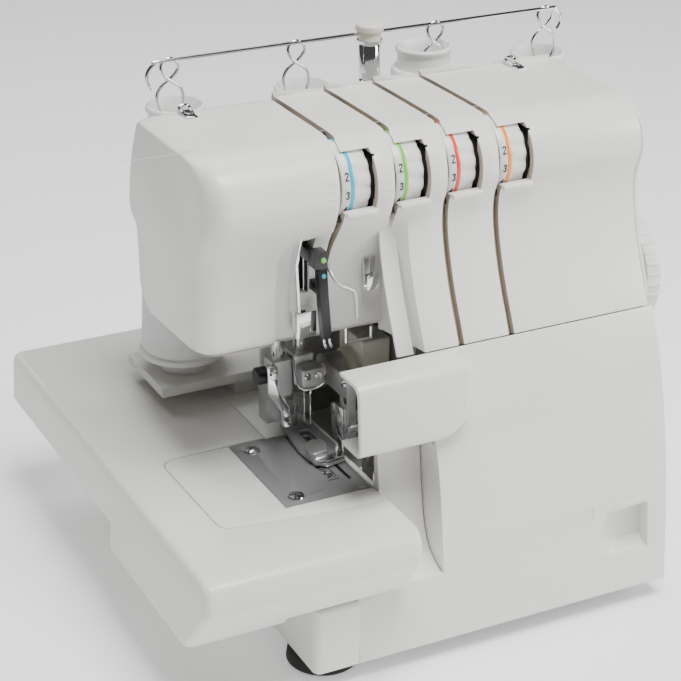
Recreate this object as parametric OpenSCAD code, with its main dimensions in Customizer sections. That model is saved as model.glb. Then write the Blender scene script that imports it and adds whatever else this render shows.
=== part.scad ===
// Serger (overlock sewing machine) with extension table, spool stand and four tension dials.
// Millimetres, +Z up, +X towards the handwheel, -Y towards the user.

/* [Head] */
// Left face of the head, before the footprint datum is applied
head_left = -115; // [-130:0.5:-100]
// Width of the head across both end faces
head_w = 262; // [240:0.5:285]
// Height of the flat top above the surface it stands on
head_top = 290; // [270:0.5:310]
// Wall thickness of the plastic covers
wall = 3; // [2:0.1:4]
// Height of the seam between the head panels and the looper cover
seam_z = 175.5; // [165:0.5:185]
// Height of the underside of the overhanging head
overhang_z = 178; // [170:0.5:186]
// Width of each thread channel
channel_w = 3.6; // [2:0.1:6]
// Depth of each thread channel
channel_d = 7; // [3:0.5:12]
// Position across the machine of the first thread channel
channel_x = -35; // [-45:0.5:-25]
// Spacing of the four thread channels
channel_pitch = 31.4; // [28:0.1:34]

/* [Tension dials] */
// Radius of a tension dial
dial_r = 21; // [17:0.5:24]
// Width of a tension dial
dial_w = 17; // [12:0.5:18]
// Height of the dial axis
dial_z = 267; // [260:0.5:275]
// Depth position of the dial axis
dial_y = -63; // [-68:0.5:-55]
// Width of the window each dial shows through
window_w = 20.6; // [18:0.2:22]

/* [Base and bed] */
// Left face of the base under the table
base_left = -81; // [-90:0.5:-70]
// Underside of the base above the surface it stands on
base_z = 12; // [8:0.5:18]
// Height of the working surface
bed_z = 98; // [90:0.5:106]
// Rear edge of the base and of the table
rear_y = 157; // [140:0.5:170]
// Radius of a foot
foot_r = 21; // [15:0.5:24]
// Seam between the base corner and the looper cover
cover_left = -53.6; // [-60:0.2:-48]

/* [Extension table] */
// Left edge of the table
table_left = -155; // [-165:0.5:-145]
// Front edge of the table
table_front = -157; // [-165:0.5:-150]
// Right end of the table's front arm
table_right = -27; // [-32:0.5:-22]
// Underside of the shallow part of the table
table_low = 68; // [62:0.5:76]
// Underside of the deep front skirt
skirt_low = 51; // [46:0.5:60]

/* [Free arm] */
// Left end of the free arm
arm_left = -122; // [-130:0.5:-110]
// Front face of the free arm
arm_front = -113; // [-118:0.5:-108]
// Back face of the free arm
arm_back = -20; // [-26:0.5:-14]
// Underside of the free arm
arm_low = 60; // [56:0.5:70]

/* [Needle and presser] */
// Needle bar position across the machine
needle_x = -37; // [-42:0.5:-32]
// Needle bar position in depth
needle_y = -24; // [-30:0.5:-18]
// Radius of the needle bar
needle_bar_r = 3.6; // [3:0.1:4.5]
// Presser bar position across the machine
presser_x = -50.5; // [-56:0.5:-46]
// Radius of the presser bar
presser_bar_r = 4; // [3:0.1:5]

/* [Drive] */
// Height of the main shaft
shaft_z = 184; // [178:0.5:190]
// Depth position of the main shaft
shaft_y = -62; // [-68:0.5:-56]
// Radius of the main shaft
shaft_r = 5; // [4:0.1:7]
// Radius of the handwheel
wheel_r = 35; // [30:0.5:40]
// Outer face of the handwheel
wheel_right = 158; // [152:0.5:165]
// Running clearance of shafts in their bores
run_gap = 0.06; // [0.02:0.01:0.1]

/* [Spool stand] */
// Depth position of the row of spool pins and of the mast
stand_y = 62; // [50:0.5:80]
// Position of the mast across the machine
mast_x = 51; // [40:0.5:62]
// Position of the first spool across the machine
spool_x = -73; // [-80:0.5:-60]
// Spacing of the spools
spool_pitch = 80.3; // [70:0.1:86]
// Height of the thread guide bar when the mast is down
guide_z = 304; // [290:0.5:320]

/* [Placement] */
// Shift that puts the origin at the middle of the footprint, across
datum_x = -20; // [-30:0.05:0]
// Shift that puts the origin at the middle of the footprint, in depth
datum_y = 0; // [-10:0.05:10]

/* [Hidden] */
head_right = head_left + head_w;
split_x = channel_x - channel_w / 2 - 0.2;
shaft_hole = shaft_r + run_gap;
channels = [for (i = [0:3]) channel_x + i * channel_pitch];
spools = [for (i = [0:3]) spool_x + i * spool_pitch];
foot_at = [[-61, -103], [120, -80], [-61, 130], [120, 130]];
bulge = [[-81.8, -49], [-82.6, -40], [-85, -33.5], [-86.8, -27], [-86.6, -20], [-84.6, -13.4],
  [-80.5, -7.6], [-74, -3.2], [-65, -0.8], [-52, 0], [9, 0], [14.5, -1.4], [17, -5]];
lower_b = [[-103.4, -114.5], [-99.2, -105], [-94.2, -94], [-89.6, -83], [-85.6, -71], [-82.8, -59]];
lower_a = [[-66, -112], [-66.3, -95], [-67.2, -80], [-69.4, -67], [-73.2, -56], [-78, -47.5], [-82, -40.5]];
bulge_a = [[-85, -33.5], [-86.8, -27], [-86.6, -20], [-84.6, -13.4], [-80.5, -7.6], [-74, -3.2],
  [-65, -0.8], [-52, 0], [9, 0], [14.5, -1.4], [17, -5]];
inside_top = [[-63.5, -80], [-70, -56], [-79, -38], [-82.5, -25], [-80, -14], [-74, -7],
  [-65, -wall - 0.8]];
cover_line = [[-135, 12.5], [-133.4, 33], [-131.7, 54], [-129.6, 74], [-127, 93], [-124.8, 107],
  [-122, 120], [-117.6, 137], [-112.2, 154.5], [-107.6, 166], [-103.4, 175.1]];
back_line = [[26, -22], [31.5, -40], [33.7, -54], [27.7, -63], [23.2, -66], [21.3, -101],
  [9.2, -114], [2.9, -115.5]];
module place() translate([datum_x, datum_y, 0]) children();
module along_x(x0, x1) translate([x0, 0, 0]) rotate([90, 0, 90]) linear_extrude(x1 - x0) children();
module rod_x(x0, x1, r) translate([x0, 0, 0]) rotate([0, 90, 0]) cylinder(h = x1 - x0, r = r, $fn = 64);
module rod_y(y0, y1, r) translate([0, y0, 0]) rotate([-90, 0, 0]) cylinder(h = y1 - y0, r = r, $fn = 64);
module along_y(y0, y1) translate([0, y1, 0]) rotate([90, 0, 0]) linear_extrude(y1 - y0) children();
module box(a, b) translate(a) cube(b - a);
module head_front_b() translate([0, head_top]) polygon(concat(lower_b, bulge, [[17, -114.5]]));
module head_a() translate([0, head_top]) polygon(concat(lower_a, bulge_a, back_line));
module bar_bores(extra) {
  translate([needle_x, needle_y, bed_z]) cylinder(h = head_top, r = needle_bar_r + extra, $fn = 64);
  translate([presser_x, needle_y, bed_z]) cylinder(h = head_top, r = presser_bar_r + extra, $fn = 64);
}
module dial_space() for (x = channels) translate([x - 6, dial_y, dial_z]) rod_x(0, dial_w + 5, dial_r + 1);
module window_cuts() {
  for (x = channels) translate([x - 5, 0, head_top]) box([0, -100, -35], [window_w, -50, -4]);
}

// Left end of the head with the overhang above the needles
module face_cover() color([0.93, 0.93, 0.91]) place() difference() {
  along_x(head_left, split_x) head_a();
  along_x(head_left + wall, split_x + 1) translate([0, head_top])
    polygon(concat([[-62, -109]], inside_top, [[12, -wall - 0.8], [22, -24], [30, -54], [18, -68],
      [18, -100], [8, -109]]));
  intersection() {
    bar_bores(0.8);
    box([-70, -60, 150], [-30, 0, 200]);
  }
  box([-62.5, -95, 196], [-42, -55, 248]);
  box([-48.5, -60, 170], [-40.5, -30, 190]);
  window_cuts();
  dial_space();
}

// Front and top panels with the four thread channels and dial windows
module thread_cover() color([0.93, 0.93, 0.91]) place() difference() {
  union() {
    difference() {
      along_x(split_x + 0.2, -5) head_a();
      along_x(split_x, -4) translate([0, head_top])
        polygon(concat([[-62, -116]], inside_top, [[40, -wall - 0.8], [40, -116]]));
      box([-40, 13, 170], [0, 40, 287]);
      translate([-16.5, 0, 211]) rod_y(-90, -50, 1.5);
    }
    difference() {
      along_x(-8, head_right - wall) head_front_b();
      along_x(-8 + wall, head_right) translate([wall, -wall]) head_front_b();
      box([-10, -62, 170], [-3, 20, head_top - 6]);
      box([-10, 13, 170], [head_right, 30, 287]);
    }
    for (x = channels) difference() {
      along_x(x < split_x + 4 ? split_x + 0.2 : x - 4.6, x + 4.6) head_front_b();
      along_x(x - 5, x + 5) translate([channel_d + 2.4, -channel_d - 2.4]) head_front_b();
      box([x - 5, -20, 170], [x + 5, 30, 285]);
      box([x - 5, 12.8, 170], [x + 5, 30, 287.3]);
      if (x < -20) box([x - 5, -120, 170], [x + 5, 20, 253]);
    }
  }
  for (x = channels) difference() {
    along_x(x - channel_w / 2, x + channel_w / 2) translate([-0.5, 0.5]) head_front_b();
    along_x(x - 5, x + 5) translate([channel_d, -channel_d]) head_front_b();
    if (x < -20) box([x - 5, -120, 170], [x + 5, 20, 253]);
  }
  window_cuts();
  dial_space();
}

// Back wall of the head
module rear_cover() color([0.91, 0.91, 0.89]) place() difference() {
  along_x(split_x + 0.2, head_right - wall) polygon([[13.2, 286.8], [13.2, 282], [29.5, 236],
    [29.5, bed_z + 0.3], [33, bed_z + 0.3], [33, 236], [17, 282], [17, 284.6]]);
  for (x = [20:9:92]) box([x, 20, 190], [x + 4, 40, 222]);
  box([-31, 25, 214], [-23, 40, 266]);
}

// Right end cover around the handwheel
module side_cover() color([0.93, 0.93, 0.91]) place() difference() {
  along_x(head_right - wall + 0.02, head_right) translate([0, head_top])
    polygon(concat([[-98.6, -116], [-98.6, -104], [-94.2, -94], [-89.6, -83], [-85.6, -71], [-82.8, -59]],
      bulge, [[33, -54], [33, bed_z + 0.3 - head_top], [-99, bed_z + 0.3 - head_top], [-99, -190 + 0.6]]));
  translate([0, shaft_y, shaft_z]) rod_x(140, 150, 12);
  translate([0, -20, 140]) rod_x(140, 150, 11.6);
  box([140, -62, 112], [150, -40, 124]);
  box([140, -12, 104], [150, 20, 126]);
}

// Base tub with the left corner block and the bed behind the free arm
module base_tub() color([0.93, 0.93, 0.91]) place() difference() {
  union() {
    box([base_left, -135, base_z], [cover_left - 0.3, -99, 53]);
    box([base_left, -99.6, base_z], [head_right, rear_y - 4, 53]);
    box([-27.4, -98, 50], [head_right, rear_y - 4, bed_z]);
    box([-57, arm_back + 0.4, 50], [head_right, rear_y - 4, bed_z]);
  }
  box([base_left + wall, -135 + wall, base_z - 1], [cover_left - 3.3, -90, 50]);
  box([base_left + wall, -96, base_z - 1], [head_right - wall, rear_y - 7, 50]);
  box([-24.4, -94, 40], [head_right - wall, rear_y - 7, bed_z - wall]);
  box([-54, arm_back + 3.4, 40], [head_right - wall, rear_y - 7, bed_z - wall]);
  box([-20, -105, base_z - 1], [head_right - 12, -90, bed_z - 4]);
  box([-24.4, -94, 80], [136.4, 24, bed_z + 1]);
}

// Steel plate that closes the base from below and carries the feet
module bottom_plate() color([0.35, 0.36, 0.38]) place() difference() {
  box([base_left + wall + 0.2, -131, base_z], [head_right - wall - 0.2, rear_y - 7.4, base_z + 2]);
  box([cover_left - 3.5, -140, 0], [200, -95.8, 20]);
  for (p = foot_at) translate([p[0], p[1], 0]) cylinder(h = 40, r = 3.05, $fn = 32);
  for (i = [0:5]) box([10 + 12 * i, 20, 5], [16 + 12 * i, 70, 30]);
}

// Rubber feet with their stems
module feet() color([0.06, 0.06, 0.06]) place() for (p = foot_at) translate([p[0], p[1], 0]) difference() {
  union() {
    rotate_extrude($fn = 96)
      polygon([[0, 0], [foot_r - 1.5, 0], [foot_r, 1.5], [foot_r - 1, 8], [foot_r - 5, base_z], [0, base_z]]);
    cylinder(h = base_z + 4, r = 3, $fn = 32);
  }
  translate([0, 0, -1]) cylinder(h = 3, r = foot_r - 8, $fn = 64);
}

// Scooped wall beside the table end, fixed to the base
module bay_wall() color([0.92, 0.92, 0.9]) place() along_x(-26.2, -1.4)
  polygon([[-128, 53.4], [-103, 64], [-101.5, 100], [-100.6, 128], [-98.4, 128], [-98.4, 53.4]]);

// Cast frame that carries the shafts and bars
module frame_casting() color([0.62, 0.63, 0.62]) place() difference() {
  union() {
    for (x = [12, 58, 128]) box([x, -72, bed_z - 9], [x + 8, 22, 240]);
    box([12, -74, bed_z - 14], [136, 22, bed_z - 8]);
    box([-24, -52, bed_z - 14], [14, 22, bed_z - 8]);
    box([-20, 14, bed_z - 9], [136, 22, 240]);
    box([-62, -38, 196], [-16, 12, 206]);
    box([-62, -38, 268], [-16, 4, 276]);
    box([-62, -10, 196], [-52, 4, 276]);
    box([-26, -38, 196], [-16, 4, 276]);
    box([-20, -50, 200], [-16, 22, 240]);
    translate([-27, 18, 240]) rod_x(-8, 8, 3);
    box([-22, 12, 236], [-16, 22, 244]);
  }
  bar_bores(run_gap);
  translate([0, shaft_y, shaft_z]) rod_x(-40, 150, shaft_hole);
  box([68, -60, bed_z - 15], [120, 10, 130]);
}

// Thread channels' rear guides on the top
module top_guides() color([0.75, 0.75, 0.76]) place() for (x = [-88, 117]) {
  box([x - 3, -2, head_top], [x + 3, 12, head_top + 1]);
  box([x - 3, 8, head_top], [x + 3, 12, head_top + 3.4]);
}

// Tension posts and discs behind the dials
module tension_posts() color([0.7, 0.7, 0.71]) place() for (x = channels) translate([x, dial_y, dial_z]) {
  rod_x(-6, dial_w + 6, 2.4);
  rod_x(-5.6, -4.8, 9);
  rod_x(dial_w - 3, dial_w - 2.2, 9);
  box([dial_w + 1, -3, -8], [dial_w + 5, 3, 3]);
}

module tension_dial(i) place() translate([channels[i] - 4, dial_y, dial_z]) difference() {
  rod_x(0, dial_w, dial_r);
  for (a = [0:12:348]) rotate([a, 0, 0]) translate([0, 0, dial_r + 0.3]) rod_x(7, dial_w + 1, 1);
  rod_x(-1, dial_w + 1, 2.4 + run_gap);
  rod_x(8, dial_w + 1, 12);
}
module dial_blue() color([0.1, 0.62, 0.82]) tension_dial(0);
module dial_green() color([0.4, 0.76, 0.28]) tension_dial(1);
module dial_red() color([0.86, 0.2, 0.14]) tension_dial(2);
module dial_orange() color([0.93, 0.52, 0.15]) tension_dial(3);

// Chromed plate set in the slot of the head
module take_up_plate() color([0.7, 0.71, 0.72]) place() difference() {
  union() {
    along_x(-61.5, -60) polygon([[-62, 198], [-76, 200], [-73, 226], [-80, 244], [-62, 246]]);
    along_x(-60.2, -46) polygon([[-62, 198], [-62, 246], [-60.5, 246], [-60.5, 198]]);
    along_x(-61.5, -50) polygon([[-67.6, 184], [-74, 184], [-74, 199], [-62, 199], [-62, 197], [-67.6, 197]]);
  }
  box([-57, -70, 206], [-52, -50, 242]);
}

// Fixed black thread guide on the plate
module take_up_guide() color([0.08, 0.08, 0.09]) place() union() {
  box([-50, -78, 184], [-45, -72, 224]);
  box([-50, -73, 208], [-46, -62, 214]);
}

// Swinging take-up lever with its bent arm
module take_up_lever() color([0.2, 0.2, 0.21]) place() union() {
  box([-56.4, -84, 229], [-52.6, -48, 236]);
  box([-56.4, -86, 227.6], [-49, -77.6, 236.6]);
  box([-56.4, -50, 224], [-42.8, -40, 239]);
  translate([0, -45, 232]) rod_x(-59, -42, 2.4);
}

// Bent wire arm
module take_up_arm() color([0.75, 0.76, 0.77]) place() union() {
  translate([-43.8, 0, 226]) rod_y(-88.5, -50, 1);
  translate([0, -87.4, 226]) rod_x(-44.6, -38, 0.9);
  translate([-38.9, -87.4, 206]) cylinder(h = 20.8, r = 0.8, $fn = 32);
}

// Small thread clip on the front of the head
module head_clip() color([0.78, 0.79, 0.8]) place() union() {
  box([-20, -71, 206], [-13, -69.8, 222]);
  box([-20, -75, 204.6], [-13, -69.8, 206.2]);
  box([-20, -75, 206], [-13, -74, 213]);
  translate([-16.5, 0, 211]) rod_y(-70, -60, 1.5);
}

// Wire thread guide under the head
module wire_guide() color([0.78, 0.79, 0.8]) place() union() {
  translate([-24, -58, 168]) cylinder(h = 13, r = 1, $fn = 32);
  translate([-24, -58, 168]) rod_x(0, 16, 1);
  translate([-8.6, -58, 168]) cylinder(h = 7, r = 1, $fn = 32);
}

// Lamp inside the left end
module lamp() color([0.95, 0.93, 0.85]) place() union() {
  translate([-88, -20, 190]) cylinder(h = 22, r = 8, $fn = 64);
  translate([-88, -20, 190]) sphere(r = 8, $fn = 64);
  translate([-88, -20, 211]) cylinder(h = 10, r = 6, $fn = 64);
  box([-96, -28, 219], [-62, -10, 223]);
}

// Presser bar with its spring collar
module presser_bar() color([0.78, 0.79, 0.8]) place() translate([presser_x, needle_y, 0]) union() {
  translate([0, 0, 130]) cylinder(h = 146, r = presser_bar_r, $fn = 64);
  translate([0, 0, 222]) cylinder(h = 8, r = 8, $fn = 64);
}

// Ankle bracket clamped to the presser bar
module foot_bracket() color([0.6, 0.61, 0.62]) place() difference() {
  union() {
    box([presser_x - 6, needle_y - 6, 128], [presser_x + 6, needle_y + 6, 150]);
    box([presser_x - 6, needle_y + 3, 108], [presser_x + 6, needle_y + 14, 134]);
    box([presser_x + 5.6, needle_y + 6.6, 108], [-28, needle_y + 14, 118]);
  }
  translate([presser_x, needle_y, 130]) cylinder(h = 40, r = presser_bar_r, $fn = 64);
  translate([0, needle_y, 141]) rod_x(-64, presser_x, 2);
  translate([0, needle_y + 9, 112]) rod_x(-38.6, -20, 1.56);
  box([-38.2, needle_y + 4, 100], [-34.8, needle_y + 15, 122]);
}

// Thumb screw that holds the bracket
module foot_screw() color([0.12, 0.12, 0.12]) place() translate([0, needle_y, 141]) union() {
  rod_x(-64, presser_x - 6, 5);
  rod_x(presser_x - 6, presser_x - presser_bar_r, 2);
}

// Snap-on presser foot
module presser_foot() color([0.72, 0.73, 0.74]) place() difference() {
  union() {
    box([-44, -66, bed_z + 1], [-28.4, -12, bed_z + 3.4]);
    box([-44, -67.5, bed_z + 3], [-28.4, -60, bed_z + 5.4]);
    box([-37.6, needle_y + 6.4, bed_z + 3], [-35.4, needle_y + 11.6, 114.4]);
    translate([0, needle_y + 9, 112]) rod_x(-38.5, -30, 1.5);
    box([-30.4, -58, bed_z + 3], [-28.8, -20, bed_z + 8]);
  }
  box([-39.4, -42, 90], [-32, -26, 110]);
}

// Presser lifter lever at the back of the head
module presser_lifter() color([0.14, 0.14, 0.15]) place() translate([-27, 18, 240]) difference() {
  union() {
    rod_x(-3, 3, 7);
    box([-3, 0, -24], [3, 26, -16]);
    box([-3, -2, -24], [3, 6, 0]);
    box([-5, 22, -26], [5, 30, -14]);
  }
  rod_x(-4, 4, 3 + run_gap);
}

// Needle bar
module needle_bar() color([0.8, 0.81, 0.82]) place() translate([needle_x, needle_y, 140])
  cylinder(h = 136, r = needle_bar_r, $fn = 64);

// Needle clamp block
module needle_clamp() color([0.55, 0.56, 0.57]) place() difference() {
  union() {
    box([needle_x - 6, needle_y - 6, 134], [needle_x + 6, needle_y + 6, 152]);
    box([needle_x - 5, needle_y - 15, 134], [needle_x + 8, needle_y - 5, 146]);
  }
  translate([needle_x, needle_y, 140]) cylinder(h = 40, r = needle_bar_r, $fn = 64);
  for (d = [0, 1]) translate([-35 - 2.4 * d, -34 + 3 * d, 100]) cylinder(h = 42 + 3 * d, r = 1, $fn = 32);
}

// Two needles
module needles() color([0.85, 0.85, 0.86]) place() for (d = [0, 1])
  translate([-35 - 2.4 * d, -34 + 3 * d, 106 + 2 * d]) rotate_extrude($fn = 32)
    polygon([[0, 0], [0.45, 4], [0.45, 22], [1, 25], [1, 36], [0, 36]]);

// Free arm that carries the needle plate
module free_arm() color([0.93, 0.93, 0.91]) place() difference() {
  box([arm_left, arm_front, arm_low], [-27.4, arm_back, bed_z]);
  box([arm_left + wall, arm_front + wall, arm_low + wall], [-20, arm_back - wall, bed_z - 4]);
  box([-80.2, -98.2, bed_z - 2], [-20, arm_back + 1, bed_z + 1]);
  box([-76, -92, bed_z - 10], [-20, -24, bed_z + 1]);
  box([-60, -60, arm_low - 1], [-27, -25, bed_z - 6]);
  for (y = [-31, -90]) translate([-70.5, y, bed_z - 12]) cylinder(h = 20, r = 2.05, $fn = 32);
}

// Metal needle plate
module needle_plate() color([0.5, 0.51, 0.53]) place() difference() {
  box([-80, -98, bed_z - 2], [-29, -20.2, bed_z]);
  box([-38.6, -38, bed_z - 4], [-33.4, -27, bed_z + 1]);
  box([-46.4, -66, bed_z - 4], [-42.4, -23.4, bed_z + 1]);
  box([-40.7, -66, bed_z - 4], [-38.7, -23.4, bed_z + 1]);
  box([-36, -84, bed_z - 4], [-33.6, -66, bed_z + 1]);
  box([-31.2, -62, bed_z - 4], [-20, -24, bed_z + 1]);
  for (y = [-31, -90]) translate([-70.5, y, bed_z - 4]) cylinder(h = 8, r = 2.05, $fn = 32);
}

// Screws of the needle plate
module plate_screws() color([0.72, 0.72, 0.73]) place() for (y = [-31, -90])
translate([-70.5, y, bed_z]) difference() {
  union() {
    cylinder(h = 1.3, r = 4.6, $fn = 64);
    translate([0, 0, -9]) cylinder(h = 9.5, r = 2, $fn = 32);
  }
  box([-5, -0.6, 0.6], [5, 0.6, 2]);
}

// Main and differential feed dogs
module feed_dogs() color([0.6, 0.6, 0.61]) place() union() {
  box([-46, -44, bed_z - 6], [-42.8, -27, bed_z + 0.6]);
  box([-40.3, -44, bed_z - 6], [-38.9, -27, bed_z + 0.6]);
  box([-46, -42, bed_z - 9.6], [-38.9, -29, bed_z - 6]);
  box([-46, -62.6, bed_z - 6], [-42.8, -46, bed_z + 0.6]);
  box([-40.3, -62.6, bed_z - 6], [-38.9, -46, bed_z + 0.6]);
  box([-46, -61, bed_z - 9.6], [-38.9, -48, bed_z - 6]);
}

// Fixed lower knife
module lower_knife() color([0.66, 0.67, 0.68]) place() union() {
  box([-30.8, -58, bed_z - 24], [-29.3, -44, bed_z]);
  box([-34, -60, bed_z - 30], [-28.4, -42, bed_z - 24]);
}

// Upper knife arm
module knife_arm() color([0.6, 0.61, 0.62]) place() difference() {
  union() {
    translate([0, -30, 140]) rod_x(-25, -14, 9);
    box([-25, -60, 133], [-20, -30, 147]);
    box([-25, -62, 108], [-20, -52, 147]);
  }
  translate([0, -58, 132]) rod_x(-26, -10, 2.2);
  translate([0, -30, 140]) rod_x(-30, -10, 4 + run_gap);
}

// Upper knife blade
module upper_knife() color([0.75, 0.76, 0.77]) place() box([-27.6, -60, bed_z + 2], [-25.1, -50, 128]);

// Black knob of the knife
module knife_knob() color([0.1, 0.1, 0.11]) place() translate([0, -58, 132]) union() {
  rod_x(-19.9, -12, 6);
  rod_x(-25, -19, 2.2);
}

// Cast holder of the knife and looper mechanism
module knife_holder() color([0.85, 0.84, 0.78]) place() union() {
  box([-8, -46, bed_z - 8], [10, -16, 160]);
  translate([0, -30, 140]) rod_x(-28, -7, 4);
  translate([0, -30, 140]) rod_x(-13.6, -7, 10);
}

// Upper looper
module upper_looper() color([0.78, 0.79, 0.8]) place() union() {
  box([-18, -72, 76], [-14, -66, 122]);
  box([-29, -71, 118], [-14, -68, 122]);
  translate([-16, 0, 76]) rod_y(-82, -58, 3);
}

// Lower looper
module lower_looper() color([0.78, 0.79, 0.8]) place() union() {
  box([-52, -76, 67], [-48, -72, 86]);
  box([-70, -75.4, 83], [-48, -72.6, 86]);
  translate([-50, 0, 67]) rod_y(-86, -66, 3);
}

// Main shaft
module main_shaft() color([0.66, 0.67, 0.68]) place() translate([0, shaft_y, shaft_z]) union() {
  rod_x(8, wheel_right - 6, shaft_r);
  translate([0, 3, 0]) rod_x(26, 34, 9);
  translate([0, -3, 0]) rod_x(40, 48, 9);
}

// Toothed pulley on the main shaft
module shaft_pulley() color([0.2, 0.2, 0.21]) place() translate([0, shaft_y, shaft_z]) difference() {
  union() {
    rod_x(108, 122, 24);
    rod_x(107, 108.2, 26);
    rod_x(121.8, 123, 26);
  }
  rod_x(100, 130, shaft_r);
}

// Handwheel
module handwheel() color([0.9, 0.9, 0.88]) place() translate([0, shaft_y, shaft_z]) difference() {
  union() {
    rod_x(head_right + 0.8, wheel_right - 1.5, wheel_r);
    rod_x(head_right + 0.8, wheel_right, wheel_r - 2);
    for (a = [0:10:350]) rotate([a, 0, 0]) translate([0, 0, wheel_r - 0.6])
      rod_x(head_right + 1.2, wheel_right - 2, 1.2);
    rod_x(head_right - 5, wheel_right - 3, 11);
  }
  rod_x(wheel_right - 4, wheel_right + 1, 24);
  rod_x(head_right - 8, wheel_right - 6, shaft_r);
}

// Drive motor
module motor() color([0.3, 0.31, 0.33]) place() difference() {
  union() {
    translate([0, -24, 112]) rod_x(70, 100, 27);
    translate([0, -24, 112]) rod_x(99, 103, 12);
    box([67, -64, bed_z - 8], [104, 13, bed_z - 5]);
  }
  translate([0, -24, 112]) rod_x(60, 110, 3 + run_gap);
}

// Motor shaft and small pulley
module motor_pulley() color([0.45, 0.46, 0.47]) place() translate([0, -24, 112]) union() {
  rod_x(70, 126, 3);
  rod_x(109.4, 120.6, 7);
}

// Toothed drive belt
module drive_belt() color([0.05, 0.05, 0.05]) place() along_x(110, 120) difference() {
  polygon([[-83, 198], [-70, 208.6], [-56, 209], [-43.5, 201], [-36, 186], [-17, 118], [-15.4, 112],
    [-18, 105], [-24, 102.6], [-30, 105], [-80, 164], [-88, 178], [-87.4, 190]]);
  translate([shaft_y, shaft_z]) circle(r = 24.05, $fn = 96);
  translate([-24, 112]) circle(r = 7.05, $fn = 64);
  polygon([[-81, 200], [-60, 184], [-41, 194], [-19, 116], [-24, 112], [-29.6, 108], [-80, 168]]);
}

// Hinged looper cover with its finger recess
module looper_cover() color([0.93, 0.93, 0.91]) place() union() {
  difference() {
    along_x(cover_left, head_right) polygon(concat(cover_line, [[-101, 173.4], [-101, 12.5]]));
    along_x(cover_left + wall, head_right - wall) polygon(concat([[-130, 0]],
      [for (p = cover_line) [p[0] + wall, min(p[1], 175.1 - wall)]], [[-90, 175.1 - wall], [-90, 0]]));
    box([-60, -150, 53], [-1, -90, 132]);
    box([-60, -114, 40], [-1, -90, 54]);
    box([-60, -150, 131], [-8, -90, 180]);
    guard_shape();
    box([100, -140, 36], [134, -100, 66]);
  }
  difference() {
    box([98, -130, 34], [136, -123, 68]);
    box([100, -140, 36], [134, -125, 66]);
  }
  box([-1, -124, 60], [2, -101, 131]);
}

// Rounded knife guard on the looper cover
module guard_shape() {
  box([-50, -126, 131.6], [-2, -103.2, 175.1]);
  box([-3, -126, 153], [19.6, -103.2, 175.1]);
  translate([-2, 0, 153.2]) rod_y(-126, -103.2, 21.6);
}
module knife_guard() color([0.94, 0.94, 0.92]) place() difference() {
  guard_shape();
  box([-52, -123.4, 134.2], [-3, -95, 172]);
  box([-4, -123.4, 153], [17, -95, 172]);
  translate([-2, 0, 153.2]) rod_y(-123.4, -95, 18.8);
}

// Rod the looper cover folds down on
module cover_rod() color([0.7, 0.7, 0.71]) place() translate([0, -127, 20]) rod_x(-46, 140, 2);

// Extension table around the free arm
module extension_table() color([0.93, 0.93, 0.91]) place() difference() {
  union() {
    along_x(-148, table_right) polygon([[-149, bed_z], [-154, 96.6], [-156.4, 93.4], [table_front, 90],
      [table_front, 85], [-156, 82], [-138, 56], [arm_front - 1, 56], [arm_front - 1, bed_z]]);
    along_y(-22, rear_y) polygon([[-149, bed_z], [-151.6, 96], [-152.6, 92], [table_left, table_low],
      [-57.5, table_low], [-57.5, bed_z]]);
    along_y(-149, -21) polygon([[-149, bed_z], [-151.6, 96], [-152.6, 92], [table_left, skirt_low + 4],
      [table_left, skirt_low], [-99, skirt_low], [-99, bed_z]]);
    along_x(-152, -99) polygon([[-150, 92], [-156, 92], [table_front, 90], [table_front, 85], [-156, 82],
      [-134, skirt_low], [-120, skirt_low], [-120, 92]]);
  }
  translate([0, -170, 0]) along_x(-160, -90) polygon([[0, 40], [0, 80], [14, 80], [38, 46], [38, 40]]);
  along_x(-148, table_right - wall) polygon([[-151, bed_z - wall], [table_front + wall, 89],
    [table_front + wall, 86], [-134, 55], [-132, 40], [arm_front - 1, 40], [arm_front - 1, bed_z - wall]]);
  box([table_left + 7, -134, 40], [-60.5, rear_y - wall, bed_z - wall]);
  box([arm_left - 0.5, arm_front - 0.5, 40], [0, arm_back + 0.6, bed_z + 1]);
  box([-57.4, arm_front - 0.5, 40], [0, 200, bed_z + 1]);
}

// Spool stand behind the head
module spool_stand() color([0.92, 0.92, 0.9]) place() difference() {
  union() {
    box([-98, 36, bed_z + 10], [190, 92, bed_z + 16]);
    box([-50, 40, bed_z], [140, 88, bed_z + 11]);
    translate([mast_x, stand_y, bed_z + 15]) cylinder(h = 14, r = 9.2, $fn = 64);
    for (x = spools) translate([x, stand_y, bed_z + 15.9]) cylinder(h = 60, r = 2.5, $fn = 32);
    for (x = spools) translate([x, stand_y, bed_z + 15.9]) cylinder(h = 10, r = 16, $fn = 64);
  }
  box([-46, 44, bed_z - 1], [136, 84, bed_z + 10]);
  translate([mast_x, stand_y, 0]) cylinder(h = 400, r = 7.6, $fn = 64);
}

// Cones of thread
module thread_cones() color([0.95, 0.95, 0.95]) place() for (i = [0:3])
translate([spools[i], stand_y, bed_z + 26]) difference() {
  union() {
    cylinder(h = 3, r = 27, $fn = 96);
    rotate_extrude($fn = 96) polygon([[0, 0], [25.5, 2], [19.5, 141], [0, 141]]);
    translate([0, 0, 140]) cylinder(h = 10, r = 16, $fn = 96);
    translate([0, 0, 150]) cylinder(h = 4, r = 17, $fn = 96);
  }
  translate([0, 0, -1]) cylinder(h = 70, r = 12, $fn = 64);
  translate([0, 0, 60]) cylinder(h = 120, r = 13, $fn = 64);
}

// Fixed lower tube of the telescopic mast
module mast_lower() color([0.78, 0.79, 0.8]) place() translate([mast_x, stand_y, 0]) difference() {
  translate([0, 0, bed_z + 1]) cylinder(h = 168, r = 7.6, $fn = 64);
  translate([0, 0, bed_z + 3]) cylinder(h = 200, r = 6.3, $fn = 64);
}

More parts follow.
